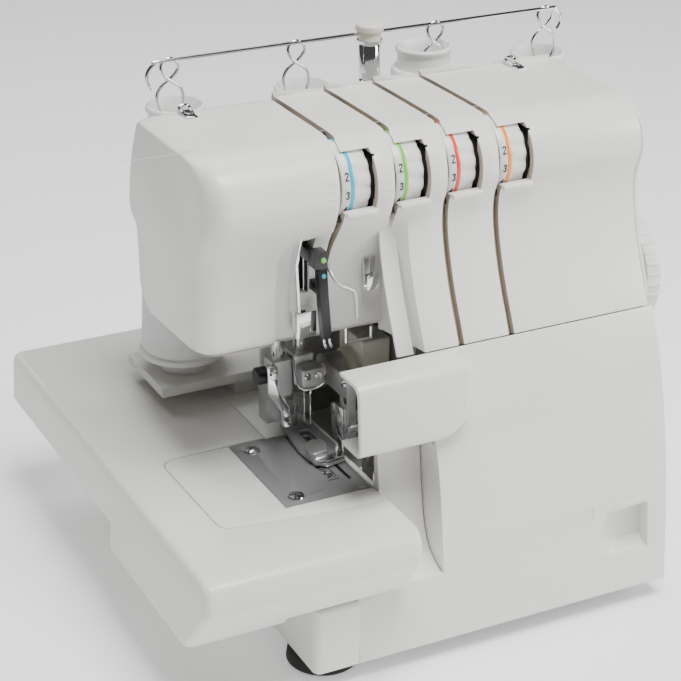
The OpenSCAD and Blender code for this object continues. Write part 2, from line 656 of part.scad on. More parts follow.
// Middle tube of the mast
module mast_middle() color([0.82, 0.83, 0.84]) place() translate([mast_x, stand_y, 0]) difference() {
  translate([0, 0, bed_z + 6]) cylinder(h = 172, r = 6.24, $fn = 64);
  translate([0, 0, bed_z + 8]) cylinder(h = 200, r = 5, $fn = 64);
}

// Inner tube of the mast
module mast_top() color([0.82, 0.83, 0.84]) place() translate([mast_x, stand_y, bed_z + 10])
  cylinder(h = guide_z - bed_z - 14, r = 4.94, $fn = 64);

// Cream cap that holds the guide bar
module mast_cap() color([0.93, 0.91, 0.82]) place() translate([mast_x, stand_y, guide_z]) difference() {
  union() {
    translate([0, 0, -14]) cylinder(h = 12, r = 5.6, $fn = 64);
    translate([0, 0, -3]) cylinder(h = 7, r = 8.6, $fn = 64);
  }
  translate([0, 0, -20]) cylinder(h = 16, r = 4.94, $fn = 64);
  rod_x(-20, 20, 1.3);
}

// Wire thread guide bar with eyelets
module guide_bar() color([0.72, 0.73, 0.74]) place() translate([0, stand_y, guide_z]) union() {
  rod_x(-86, mast_x + 125, 1.3);
  for (x = [-76, 3, 96, 172]) translate([x, 0, -17]) rotate([90, 0, 0]) rotate_extrude($fn = 48)
    translate([6, 0]) circle(r = 1.1, $fn = 24);
  for (x = [-76, 3, 96, 172]) translate([x, 0, -11.6]) cylinder(h = 11.6, r = 1.1, $fn = 24);
}

// Rocker switch on the right side
module power_switch() color([0.08, 0.08, 0.08]) place() translate([head_right - 1.5, -51, 118]) union() {
  rod_y(-8, 8, 4);
  box([0, -8, -4.6], [3.2, 8, 4.6]);
}

// Socket for the lead
module power_inlet() color([0.08, 0.08, 0.08]) place() difference() {
  box([head_right - 9.6, -11.6, 104.4], [head_right + 1, 19.6, 125.6]);
  box([head_right - 8, -8, 108], [head_right + 2, 16, 122]);
}

face_cover();
thread_cover();
rear_cover();
side_cover();
base_tub();
bottom_plate();
feet();
bay_wall();
frame_casting();
top_guides();
tension_posts();
dial_blue();
dial_green();
dial_red();
dial_orange();
take_up_plate();
take_up_guide();
take_up_lever();
take_up_arm();
head_clip();
wire_guide();
lamp();
presser_bar();
foot_bracket();
foot_screw();
presser_foot();
presser_lifter();
needle_bar();
needle_clamp();
needles();
free_arm();
needle_plate();
plate_screws();
feed_dogs();
lower_knife();
knife_arm();
upper_knife();
knife_knob();
knife_holder();
upper_looper();
lower_looper();
main_shaft();
shaft_pulley();
handwheel();
motor();
motor_pulley();
drive_belt();
looper_cover();
knife_guard();
cover_rod();
extension_table();
spool_stand();
thread_cones();
mast_lower();
mast_middle();
mast_top();
mast_cap();
guide_bar();
power_switch();
power_inlet();
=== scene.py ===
import bpy
import bmesh
import math
from mathutils import Matrix, Vector


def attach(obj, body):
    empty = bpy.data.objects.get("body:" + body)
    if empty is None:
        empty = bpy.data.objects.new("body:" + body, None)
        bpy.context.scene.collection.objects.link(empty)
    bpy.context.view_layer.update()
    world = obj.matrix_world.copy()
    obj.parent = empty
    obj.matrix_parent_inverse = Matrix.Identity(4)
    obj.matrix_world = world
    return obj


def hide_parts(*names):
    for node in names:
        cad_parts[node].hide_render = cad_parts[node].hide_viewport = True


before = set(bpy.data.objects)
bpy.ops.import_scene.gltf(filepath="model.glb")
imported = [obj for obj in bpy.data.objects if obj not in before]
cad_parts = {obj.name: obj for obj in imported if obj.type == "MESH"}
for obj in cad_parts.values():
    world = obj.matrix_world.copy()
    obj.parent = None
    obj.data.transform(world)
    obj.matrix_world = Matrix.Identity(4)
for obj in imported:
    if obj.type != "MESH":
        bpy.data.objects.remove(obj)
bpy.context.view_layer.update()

# Lengths below are millimetres in the design frame of the part; the row's frame is 20 mm to the left.
SHIFT = -20.0
MM = 0.001
RIGHT = 147  # right side of the head and of the looper cover
COVER_LEFT = -53.6  # left edge of the looper cover
BED = 98  # top of the table, arm and needle plate
CREASE = -52  # depth of the crease where the head's front rolls over to its flat top
ON_TOP = 300  # height that stands for anywhere on the flat top
STAND_Y = 62  # depth of the cones, mast and guide bar
MAST_X = 51
GUIDE_Z = 304


# ---------------------------------------------------------------- mesh helpers
def link(name, verts, faces):
    mesh = bpy.data.meshes.new(name)
    mesh.from_pydata([((x + SHIFT) * MM, y * MM, z * MM) for x, y, z in verts], [], faces)
    obj = bpy.data.objects.new(name, mesh)
    bpy.context.collection.objects.link(obj)
    return obj


def outward(obj):
    bm = bmesh.new()
    bm.from_mesh(obj.data)
    bmesh.ops.remove_doubles(bm, verts=bm.verts, dist=1e-6)
    bmesh.ops.recalc_face_normals(bm, faces=bm.faces)
    bm.to_mesh(obj.data)
    bm.free()
    return obj


def loft(name, loops, cap=True):
    n = len(loops[0])
    verts = [p for loop in loops for p in loop]
    faces = []
    for i in range(len(loops) - 1):
        for j in range(n):
            k = (j + 1) % n
            faces.append((i * n + j, i * n + k, (i + 1) * n + k, (i + 1) * n + j))
    if cap:
        faces.append(tuple(reversed(range(n))))
        faces.append(tuple((len(loops) - 1) * n + j for j in range(n)))
    return outward(link(name, verts, faces))


def along_x(name, outline, x0, x1):
    return loft(name, [[(x, y, z) for y, z in outline] for x in (x0, x1)])


def along_y(name, outline, y0, y1):
    return loft(name, [[(x, y, z) for x, z in outline] for y in (y0, y1)])


def along_z(name, outline, z0, z1):
    return loft(name, [[(x, y, z) for x, y in outline] for z in (z0, z1)])


def block(name, lo, hi):
    return along_z(name, [(lo[0], lo[1]), (hi[0], lo[1]), (hi[0], hi[1]), (lo[0], hi[1])], lo[2], hi[2])


def bake(obj):
    graph = bpy.context.evaluated_depsgraph_get()
    mesh = bpy.data.meshes.new_from_object(obj.evaluated_get(graph))
    obj.modifiers.clear()
    obj.data = mesh
    return obj


def combine(obj, other, how="DIFFERENCE"):
    mod = obj.modifiers.new("cut", "BOOLEAN")
    mod.operation = how
    mod.solver = "EXACT"
    mod.object = other
    bake(obj)
    bpy.data.objects.remove(other)
    return obj


def soften(obj, width, segments=3, angle=32):
    mod = obj.modifiers.new("edge", "BEVEL")
    mod.width = width * MM
    mod.segments = segments
    mod.limit_method = "ANGLE"
    mod.angle_limit = math.radians(angle)
    mod.use_clamp_overlap = True
    return bake(obj)


def shade(obj, angle=38):
    obj.data.shade_smooth()
    obj.data.set_sharp_from_angle(angle=math.radians(angle))
    return obj


def join(name, parts):
    bm = bmesh.new()
    mesh = bpy.data.meshes.new(name)
    mats = []
    for part in parts:
        slots = [m for m in part.data.materials]
        start = len(bm.faces)
        bm.from_mesh(part.data)
        bm.faces.ensure_lookup_table()
        for face in bm.faces[start:]:
            mat = slots[face.material_index] if slots else None
            if mat not in mats:
                mats.append(mat)
            face.material_index = mats.index(mat)
    bm.to_mesh(mesh)
    bm.free()
    for mat in mats:
        mesh.materials.append(mat)
    for part in parts:
        bpy.data.objects.remove(part)
    obj = bpy.data.objects.new(name, mesh)
    bpy.context.collection.objects.link(obj)
    return obj


def curve(points, steps=6, closed=False):
    """Catmull-Rom points through the given ones, any dimension."""
    n = len(points)
    out = []
    for i in range(n if closed else n - 1):
        p0 = points[(i - 1) % n] if closed or i > 0 else points[0]
        p1 = points[i]
        p2 = points[(i + 1) % n]
        p3 = points[(i + 2) % n] if closed or i + 2 < n else points[-1]
        for s in range(steps):
            t = s / steps
            out.append(tuple(0.5 * (2 * b + (c - a) * t + (2 * a - 5 * b + 4 * c - d) * t * t
                                    + (3 * b - a - 3 * c + d) * t ** 3) for a, b, c, d in zip(p0, p1, p2,
                    p3)))
    if not closed:
        out.append(tuple(points[-1]))
    return out


def rounded(points, radii, steps=6):
    """Closed outline with arcs in place of its corners."""
    out = []
    n = len(points)
    for i, (p, r) in enumerate(zip(points, radii)):
        p = Vector(p)
        a = (Vector(points[i - 1]) - p)
        b = (Vector(points[(i + 1) % n]) - p)
        if r <= 0:
            out.append(tuple(p))
            continue
        la, lb = a.length, b.length
        a.normalize()
        b.normalize()
        half = a.angle(b) / 2
        d = min(r / math.tan(half), la * 0.49, lb * 0.49)
        r = d * math.tan(half)
        mid = p + (a + b).normalized() * (r / math.sin(half))
        s = p + a * d - mid
        e = p + b * d - mid
        for k in range(steps + 1):
            t = k / steps
            v = s.lerp(e, t)
            ang = math.pi - 2 * half
            w0 = math.sin((1 - t) * ang) / math.sin(ang)
            w1 = math.sin(t * ang) / math.sin(ang)
            v = s * w0 + e * w1
            out.append(tuple(mid + v))
    return out


def tube(name, path, radius, steps=5, sides=14, smooth=True, closed=False):
    pts = [Vector(p) for p in (curve(path, steps, closed) if smooth else path)]
    n = len(pts)
    rings = []
    ref = None
    for i, p in enumerate(pts):
        if closed:
            d = pts[(i + 1) % n] - pts[i - 1]
        else:
            d = pts[min(i + 1, n - 1)] - pts[max(i - 1, 0)]
        d.normalize()
        if ref is None:
            ref = d.orthogonal().normalized()
        ref = (ref - d * ref.dot(d)).normalized()
        side = d.cross(ref)
        r = radius[i * len(radius) // n] if isinstance(radius, (list, tuple)) else radius
        rings.append([tuple(p + (ref * math.cos(2 * math.pi * k / sides)
                                 + side * math.sin(2 * math.pi * k / sides)) * r) for k in range(sides)])
    if closed:
        verts = [v for ring in rings for v in ring]
        faces = [(i * sides + j, i * sides + (j + 1) % sides, ((i + 1) % n) * sides + (j + 1) % sides,
                  ((i + 1) % n) * sides + j) for i in range(n) for j in range(sides)]
        return shade(outward(link(name, verts, faces)), 60)
    return shade(loft(name, rings), 50)


def lathe(name, profile, centre, axis="z", sides=48):
    """Profile of (radius, along) pairs turned about an axis; open ends are capped."""
    def place(r, a, t):
        u, v = r * math.cos(t), r * math.sin(t)
        p = {"z": (u, v, a), "x": (a, u, v), "y": (u, a, v)}[axis]
        return (p[0] + centre[0], p[1] + centre[1], p[2] + centre[2])
    loops = [[place(max(r, 0.01), a, 2 * math.pi * k / sides) for k in range(sides)] for r, a in profile]
    return shade(loft(name, loops), 35)


def rbox(name, lo, hi, width=0.8, segments=2):
    return shade(soften(block(name, lo, hi), width, segments))


def dress(obj, material):
    obj.data.materials.clear()
    obj.data.materials.append(material)
    return obj


def box_of(mat, *args):
    return dress(rbox(*args), mat)


def turned_of(mat, *args):
    return dress(lathe(*args), mat)


def tube_of(mat, *args):
    return dress(tube(*args), mat)


def place(obj, body, slot, *nodes):
    """Puts a finished piece on its body and hides the frame's solids it stands for; slot is not used."""
    if nodes:
        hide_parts(*nodes)
    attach(obj, body)
    return obj


# ---------------------------------------------------------------- materials
def material(name, colour, rough=0.4, metal=0.0, vary=0.03, scale=60.0, bump=0.02, grain=900.0, coat=0.0,
             rough_vary=0.08, stretch=None, spec=0.5, sub=0.0):
    mat = bpy.data.materials.new(name)
    mat.use_nodes = True
    tree = mat.node_tree
    bsdf = tree.nodes["Principled BSDF"]
    coord = tree.nodes.new("ShaderNodeTexCoord")
    source = coord.outputs["Object"]
    if stretch:
        mapping = tree.nodes.new("ShaderNodeMapping")
        mapping.inputs["Scale"].default_value = stretch
        tree.links.new(source, mapping.inputs["Vector"])
        source = mapping.outputs["Vector"]
    broad = tree.nodes.new("ShaderNodeTexNoise")
    broad.inputs["Scale"].default_value = scale
    broad.inputs["Detail"].default_value = 4.0
    tree.links.new(source, broad.inputs["Vector"])
    mix = tree.nodes.new("ShaderNodeMix")
    mix.data_type = "RGBA"
    tree.links.new(broad.outputs["Fac"], mix.inputs["Factor"])
    mix.inputs["A"].default_value = tuple(max(0.0, c * (1 - vary)) for c in colour) + (1.0,)
    mix.inputs["B"].default_value = tuple(min(1.0, c * (1 + vary)) for c in colour) + (1.0,)
    tree.links.new(mix.outputs["Result"], bsdf.inputs["Base Color"])
    fine = tree.nodes.new("ShaderNodeTexNoise")
    fine.inputs["Scale"].default_value = grain
    fine.inputs["Detail"].default_value = 3.0
    tree.links.new(source, fine.inputs["Vector"])
    spread = tree.nodes.new("ShaderNodeMapRange")
    spread.inputs["To Min"].default_value = max(0.02, rough - rough_vary)
    spread.inputs["To Max"].default_value = min(1.0, rough + rough_vary)
    tree.links.new(broad.outputs["Fac"], spread.inputs["Value"])
    tree.links.new(spread.outputs["Result"], bsdf.inputs["Roughness"])
    relief = tree.nodes.new("ShaderNodeBump")
    relief.inputs["Strength"].default_value = bump
    relief.inputs["Distance"].default_value = 0.0004
    tree.links.new(fine.outputs["Fac"], relief.inputs["Height"])
    tree.links.new(relief.outputs["Normal"], bsdf.inputs["Normal"])
    bsdf.inputs["Metallic"].default_value = metal
    bsdf.inputs["Specular IOR Level"].default_value = spec
    if coat:
        bsdf.inputs["Coat Weight"].default_value = coat
        bsdf.inputs["Coat Roughness"].default_value = 0.12
    if sub:
        bsdf.inputs["Subsurface Weight"].default_value = sub
        bsdf.inputs["Subsurface Radius"].default_value = (0.002, 0.0015, 0.001)
    return mat


WHITE = material("shell_white", (0.74, 0.733, 0.70), rough=0.36, vary=0.012, scale=25, bump=0.03, grain=1400,
                 coat=0.15)
MATTE = material("shell_matte", (0.74, 0.735, 0.70), rough=0.5, vary=0.015, scale=30, bump=0.06, grain=1600)
CHANNEL = material("channel_beige", (0.50, 0.43, 0.35), rough=0.5, vary=0.03, scale=60, bump=0.05)
CREAM = material("cream_casting", (0.72, 0.69, 0.60), rough=0.42, vary=0.03, scale=60, bump=0.06)
BLACK = material("black_plastic", (0.012, 0.012, 0.013), rough=0.32, vary=0.2, scale=80, bump=0.05)
RUBBER = material("black_rubber", (0.02, 0.018, 0.016), rough=0.7, vary=0.25, scale=120, bump=0.15)
# painted shade: flat black for the shade in the dial recesses, on the dial window sides and in the slot of the
# head's left end
PAINTED_SHADE = material("painted_shade_black", (0.02, 0.019, 0.018), rough=0.8, vary=0.2, scale=60, bump=0.05)
CHROME = material("chrome", (0.80, 0.80, 0.80), rough=0.10, metal=1.0, vary=0.02, scale=90, bump=0.01,
                  rough_vary=0.04)
STEEL = material("satin_steel", (0.52, 0.52, 0.52), rough=0.38, metal=0.85, vary=0.05, scale=140, bump=0.05,
                 grain=700, stretch=(1, 1, 6))
CAST = material("cast_grey", (0.46, 0.46, 0.455), rough=0.45, metal=0.6, vary=0.06, scale=120, bump=0.12,
                grain=1100)
PLATE = material("plate_steel", (0.30, 0.30, 0.305), rough=0.42, metal=0.55, vary=0.04, scale=40, bump=0.04,
                 grain=500, stretch=(10, 1, 1))
INK = material("print_black", (0.01, 0.01, 0.012), rough=0.5, vary=0.1)
GREYINK = material("print_grey", (0.55, 0.55, 0.54), rough=0.5, vary=0.05)
BLUE = material("ring_blue", (0.015, 0.38, 0.58), rough=0.3, vary=0.04, coat=0.2)
GREEN = material("ring_green", (0.16, 0.50, 0.06), rough=0.3, vary=0.04, coat=0.2)
RED = material("ring_red", (0.70, 0.035, 0.03), rough=0.3, vary=0.04, coat=0.2)
ORANGE = material("ring_orange", (0.85, 0.25, 0.02), rough=0.3, vary=0.04, coat=0.2)
CONE = material("cone_thread", (0.80, 0.80, 0.80), rough=0.6, vary=0.05, scale=40, bump=0.5, grain=200,
                stretch=(0.2, 0.2, 14))
CONETUBE = material("cone_tube", (0.76, 0.755, 0.74), rough=0.4, vary=0.02, scale=40, bump=0.03)

# ---------------------------------------------------------------- head profiles, (depth, height)
LOW_B = [(-103.4, 175.8), (-99.2, 185.5), (-94.2, 196.5), (-89.6, 208), (-85.4, 221), (-82.8, 232)]
TOP_B = [(-81.8, 241), (-82.6, 250), (-85, 256.5), (-86.8, 263), (-86.6, 270), (-84.6, 276.6), (-80.5, 282.4),
         (-74, 286.8), (-65, 289.2), (-52, 290)]
BACK_TOP = [(9, 290), (14.5, 288.6), (17, 285)]
LOW_A = [(-66.1, 184), (-66.3, 195), (-67.2, 210), (-69.4, 223), (-73.2, 234), (-78, 242.5), (-82, 249.5)]
TOP_A = TOP_B[2:]


def offset_open(points, d):
    """Open line moved sideways by d."""
    out = []
    for i, p in enumerate(points):
        a = Vector(points[max(i - 1, 0)])
        b = Vector(points[min(i + 1, len(points) - 1)])
        t = (b - a).normalized()
        out.append((p[0] + t.y * d, p[1] - t.x * d))
    return out


# middle of each thread channel on the flat top and at the front
TOP_C = [-34.3, -1.9, 28.7, 58.8]
LOW_C = [-39.9, -8.4, 23.1, 54.6]


def at(table, z):
    """Piecewise linear value from (height, value) pairs in rising order."""
    if z <= table[0][0]:
        return table[0][1]
    for (z0, v0), (z1, v1) in zip(table, table[1:]):
        if z <= z1:
            return v0 + (v1 - v0) * (z - z0) / (z1 - z0)
    return table[-1][1]


# share of the way from top to front place, by height
BEND = [(268, 1.0), (276, 0.95), (282, 0.82), (286.5, 0.7), (289, 0.45), (290, 0.0)]


def channel(i, z):
    """Middle of channel i at height z."""
    w = at(BEND, z)
    return TOP_C[i] + (LOW_C[i] - TOP_C[i]) * w


DEPTH_A = sorted((z, y) for y, z in curve(LOW_A + TOP_A[:2], 4))


def depth_a(z):
    """Depth of the left panels' front face at height z."""
    return at(DEPTH_A, z)


def sheet(name, line, left, right, thick=4.0, steps=4, flank=None):
    """Front and top panel between the sides left(z) and right(z); flank is where its left side turns back."""
    outer = curve(line, steps)
    inner = offset_open(outer, thick)
    loops = []
    for (yo, zo), (yi, zi) in zip(outer, inner):
        key = zo if yo < CREASE else ON_TOP
        l, r = left(key), right(key)
        yl = yo
        if flank and key < 251:
            yl = max(yo, depth_a(zo))
        loops.append([(l, yl, zo), (flank if flank else l + 0.5, yo, zo), (r, yo, zo), (r, yi, zi),
                      (l + 0.2, max(yi, yl + thick), zi)])
    return loft(name, loops)


def edge_paint(obj, side):
    """Gives the faces that look along X the channel's colour; the dial window sides that look to +X get painted
    shade in black.
    """
    obj.data.materials.append(side)
    obj.data.materials.append(PAINTED_SHADE)
    for face in obj.data.polygons:
        x = face.center.x / MM - SHIFT
        flank = -9.5 < x < 9 and face.center.z < 0.2475
        shaded_window_side = 0.2535 < face.center.z < 0.2865 and face.center.y < -0.064
        if abs(face.normal.x) > 0.8 and not flank:
            # painted shade: the +X sides of the dial windows are made black
            face.material_index = 2 if shaded_window_side and face.normal.x > 0 else 1
    return obj


LINE_B = LOW_B + TOP_B + BACK_TOP
LINE_A = [(-58.5, 178.0), (-62.8, 178.8), (-65.4, 181)] + LOW_A + TOP_A + BACK_TOP
HALF = 1.75  # half the width of a thread channel
WINDOW_W = 19.9


def window(c):
    """Tool for the dial window beside the channel at c."""
    return block("tool", (c - 12, -110, 255.4), (c + WINDOW_W, -66, 286.2))


panels = []
limits = [
    (LINE_A, lambda z: channel(0, z) + (HALF if z > 249 else at([(222, -1.2), (249, HALF)], z)),
     lambda z: channel(1, z) - (HALF if z > 236 else at([(212, -2.3), (236, HALF)], z)), None),
    (LINE_B, lambda z: channel(1, z) + HALF, lambda z: channel(2, z) - HALF, 0.6),
    (LINE_B, lambda z: channel(2, z) + HALF, lambda z: channel(3, z) - HALF, None),
    (LINE_B, lambda z: channel(3, z) + HALF, lambda z: 144.0, None)]
for i, (line, left, right, flank) in enumerate(limits):
    piece = sheet("head_panel_%d" % (i + 2), line, left, right, flank=flank)
    piece = combine(piece, window(LOW_C[i]))
    piece = dress(piece, WHITE)
    soften(piece, 0.8)
    edge_paint(piece, CHANNEL)
    panels.append(shade(piece, 30))
# thick lips under the dial windows
for i, c in enumerate(LOW_C):
    lip = rbox("lip", (c + 2.2, -86.6, 252.6), (c + 20.9, -80.5, 255.9), 1.3, 4)
    panels.append(dress(lip, WHITE))
# liners behind the channels
for i in range(4):
    line = offset_open(curve(LINE_A if i < 1 else LINE_B, 3), 6.0)
    loops = []
    for y, z in line:
        if y > 4:
            continue
        c = channel(i, z + 4 if y < CREASE else ON_TOP)
        loops.append([(c - 5, y, z), (c + 5, y, z), (c + 5, y + 1.4, z), (c - 5, y + 1.4, z)])
    piece = loft("channel_liner_%d" % (i + 1), loops)
    # no liner behind the dials; black boxes stand there as painted shade of the dial recess
    piece = combine(piece, block("tool", (LOW_C[i] - 12, -100, 250.5), (LOW_C[i] + 22, -56, 284)))
    dress(piece, CHANNEL).data.materials.append(WHITE)
    for face in piece.data.polygons:
        face.material_index = 1 if i == 1 and face.center.z < 0.244 else 0
    panels.append(shade(piece, 40))
# painted shade: black boxes behind, below and right of each dial window
for i, c in enumerate(LOW_C):
    for lo, hi in (((c - 6, -50, 246), (c + 24, -46, 288)), ((c - 6, -80, 249), (c + 24, -47, 251))):
        panels.append(box_of(PAINTED_SHADE, "shade", lo, hi, 0.4))
    panels.append(box_of(PAINTED_SHADE, "shade", (c + WINDOW_W, -80, 251), (c + 21, -47, 284), 0.2))
# tick marks beside each dial
ticks = []
for i in range(4):
    for k, z in enumerate((257.5, 261.5, 265.5, 269.5, 273.5)):
        y = at(sorted((b, a) for a, b in curve(TOP_B, 4)), z)
        w = 4.4 if k == 2 else 2.6
        x = LOW_C[i] - 6.6
        ticks.append(box_of(WHITE, "tick", (x - w / 2, y - 0.25, z - 0.35), (x + w / 2, y + 1.2, z + 0.35),
                            0.15))
head = join("head_panels", panels + ticks)
place(head, "machine", "white_plastic", "thread_cover")

# ---------------------------------------------------------------- left end of the head
# outer line of the head and the matching line of its rounded end
PAIRS = [((-58.5, 178), (-50, 182)), ((-62.8, 178.8), (-53, 182.6)), ((-65.4, 181), (-54.3, 184.5)),
         ((-66.2, 186), (-54.9, 189)), ((-66.3, 195), (-55.5, 196)), ((-67.2, 210), (-57, 211)),
         ((-69.4, 223), (-59, 224.6)), ((-73.2, 234), (-63, 235)), ((-78, 242.5), (-68, 244)),
         ((-82, 249.5), (-71, 250)), ((-85, 256.5), (-72.3, 256)), ((-86.8, 263), (-72.6, 262)),
         ((-86.6, 270), (-72.2, 268)), ((-84.6, 276.6), (-70.8, 274)), ((-80.5, 282.4), (-68, 279.5)),
         ((-74, 286.8), (-63.5, 284)), ((-65, 289.2), (-58, 286.8)), ((-52, 290), (-50, 288)),
         ((-20, 290), (-20, 288)), ((9, 290), (8, 288)), ((14.5, 288.6), (12.5, 286.8)),
         ((17, 285), (14.5, 284)), ((26, 268), (22.5, 267)), ((31.5, 250), (27.5, 250)),
         ((33.7, 236), (29.5, 236)), ((30, 228.5), (26, 230)), ((24.5, 224.5), (20.5, 226)),
         ((22.6, 210), (18.6, 210)), ((21.3, 189), (17.5, 190)), ((9.2, 176.5), (6, 181)),
         ((2.9, 175), (1, 180.4))]
outer = curve([p for p, q in PAIRS], 4, True)
inner = curve([q for p, q in PAIRS], 4, True)
DEPTH_END = 13.0


def end_loop(x, w, push=0.0):
    """Head outline at x, drawn in by the share w and with its front pushed back."""
    return [(x, (a[0] + (b[0] - a[0]) * w) + (push if a[0] < -40 else 0), a[1] + (b[1] - a[1]) * w)
            for a, b in zip(outer, inner)]


loops = []
for k in range(9):
    t = k / 8
    loops.append(end_loop(-115 + DEPTH_END * (1 - math.cos(t * math.pi / 2)), 1 - math.sin(t * math.pi / 2)))
for x in (-90, -70, -55, -45):
    loops.append(end_loop(x, 0))


def last_loop(back, w):
    """Outline along the first channel's left side."""
    out = []
    for a, b in zip(outer, inner):
        key = a[1] if a[0] < CREASE else ON_TOP
        out.append((channel(0, key) - HALF - back, a[0] + (b[0] - a[0]) * w, a[1] + (b[1] - a[1]) * w))
    return out


loops += [last_loop(1.2, 0), last_loop(0.45, 0.03), last_loop(0.1, 0.075), last_loop(0.0, 0.12)]
end = loft("head_left_end", loops)
# arched recess around the take-up
arch = curve([(-70.5, 170), (-70.5, 200), (-70.5, 226), (-69.6, 233), (-66.5, 238.2), (-61, 240.6),
              (-52, 242.4), (-44, 243.6)], 4)
arch += [(-30, 246), (-30, 170)]
end = combine(end, along_y("tool", arch, -100, -50))
inner_loops = []
for x, push in ((-73, 3.6), (-69, 3.6), (-60, 3.1), (-50, 2.0), (-43.2, 0.9), (-42.2, 1.1), (-41.8, 1.8)):
    inner_loops.append(end_loop(x, 0, push))
core = loft("core", inner_loops)
core = combine(core, block("tool", (-80, 0, 150), (-20, 60, 320)))
core = combine(core, block("tool", (-80, -120, 247), (-20, 60, 320)))
end = combine(end, core, "UNION")
end = combine(end, block("tool", (-61.5, -100, 206), (-50.5, -52, 241.5)))
dress(end, WHITE)
soften(end, 0.5, 2, 40)
edge_paint(end, WHITE)
shade(end, 32)
# painted shade: black boxes on the back wall, right side and top of the slot in the head's left end
lining = [box_of(PAINTED_SHADE, "lining", lo, hi, 0.2) for lo, hi in (
    ((-61.8, -58, 205.5), (-50.2, -53, 242)), ((-50.9, -64, 206), (-50.2, -54, 241.6)),
    ((-61.4, -70, 241.2), (-50.6, -54, 241.9)))]
end = join("head_left_end_shell", [end] + lining)
place(end, "machine", "white_plastic", "face_cover")

# ---------------------------------------------------------------- right end cover
line = [(-98.6, 100), (-98.6, 174), (-98.6, 186)] + LOW_B[2:] + TOP_B + BACK_TOP + [(33, 236), (33, 98.4),
        (-98.6, 98.4)]
right_end = along_x("right_end", line, 144.2, RIGHT)
for lo, hi in (((140, -62, 112), (150, -40, 124)), ((140, -12, 104), (150, 20, 126))):
    right_end = combine(right_end, block("tool", lo, hi))
right_end = combine(right_end, lathe("tool", [(12, 140), (12, 150)], (0, -62, 184), "x"))
right_end = combine(right_end, lathe("tool", [(11.6, 140), (11.6, 150)], (0, -20, 140), "x"))
dress(right_end, WHITE)
shade(soften(right_end, 0.9, 3), 32)
right_end.name = "right_end_cover"
place(right_end, "machine", "white_plastic", "side_cover")

# ---------------------------------------------------------------- tension dials
def digit(name, n, centre, size, y):
    """Raised strokes of a dial number on a plane facing the user."""
    paths = {2: [(-0.42, 0.6), (-0.1, 0.92), (0.32, 0.8), (0.36, 0.35), (-0.4, -0.9), (0.45, -0.9)],
             3: [(-0.4, 0.72), (0.0, 0.95), (0.36, 0.6), (0.02, 0.1), (0.4, -0.4), (0.0, -0.95),
                 (-0.42, -0.65)], 4: [(0.2, -0.95), (0.2, 0.95), (-0.45, -0.35), (0.48, -0.35)]}[n]
    pts = curve(paths, 3) if n != 4 else paths
    out = []
    for p, q in zip(pts, pts[1:]):
        a, b = Vector(p), Vector(q)
        d = (b - a).normalized()
        s = Vector((-d.y, d.x)) * 0.13
        a, b = a - d * 0.1, b + d * 0.1
        ring = [(v.x * size, v.y * size) for v in (a - s, b - s, b + s, a + s)]
        out.append(loft(name, [[(centre[0] + u, y, centre[1] + v) for u, v in ring],
                               [(centre[0] + u, y + 0.35, centre[1] + v) for u, v in ring]]))
    return out


DIAL_Z, DIAL_Y, DIAL_R = 267.5, -63.5, 20.5
for i, (c, ring_mat, name) in enumerate(zip(LOW_C, (BLUE, GREEN, RED, ORANGE),
                                            ("blue", "green", "red", "orange"))):
    x0 = c + 0.8
    centre = (0, DIAL_Y, DIAL_Z)
    ring = turned_of(WHITE, "ring", [(16, x0 + 0.6), (19.0, x0 + 0.4), (19.9, x0), (DIAL_R + 0.2, x0 + 1.2),
                                     (DIAL_R + 0.2, x0 + 4.6), (16, x0 + 4.6)], centre, "x", 72)
    band = turned_of(ring_mat, "band", [(16, x0 + 4.4), (DIAL_R + 0.2, x0 + 4.4), (DIAL_R + 0.35, x0 + 5.0),
                                        (DIAL_R + 0.35, x0 + 6.4), (DIAL_R + 0.1, x0 + 6.9), (16, x0 + 6.9)],
                     centre, "x", 72)
    loops = []
    for r0, x, amp in ((15.0, x0 + 6.7, 0), (DIAL_R - 0.5, x0 + 6.8, 0.0), (DIAL_R, x0 + 7.6, 0.5),
                       (DIAL_R, x0 + 9.5, 0.8), (DIAL_R, x0 + 14.6, 0.95), (DIAL_R - 0.4, x0 + 16.4, 0.95),
                       (DIAL_R - 1.5, x0 + 17.0, 0.7), (15.0, x0 + 17.0, 0)):
        loop = []
        for k in range(144):
            a = 2 * math.pi * k / 144
            r = r0 - amp * (0.5 + 0.5 * math.cos(14 * a)) ** 1.6
            loop.append((x, centre[1] + r * math.cos(a), centre[2] + r * math.sin(a)))
        loops.append(loop)
    grip = dress(shade(loft("grip", loops), 50), WHITE)
    parts = [ring, band, grip]
    for n, deg in ((2, 21), (3, -7), (4, -33)):
        a = math.radians(deg)
        strokes = digit("stroke", n, (x0 + 2.9, 0.0), 2.1, -DIAL_R - 0.42)
        for s in strokes:
            turn = Matrix.Translation(Vector((SHIFT * MM, DIAL_Y * MM, DIAL_Z * MM))) @ Matrix.Rotation(-a, 4, "X")
            back = Matrix.Translation(Vector((-SHIFT * MM, 0, 0)))
            s.data.transform(turn @ back)
            parts.append(dress(s, INK))
    place(join("tension_dial_" + name, parts), name + "_dial", "dial_" + name, "dial_" + name)

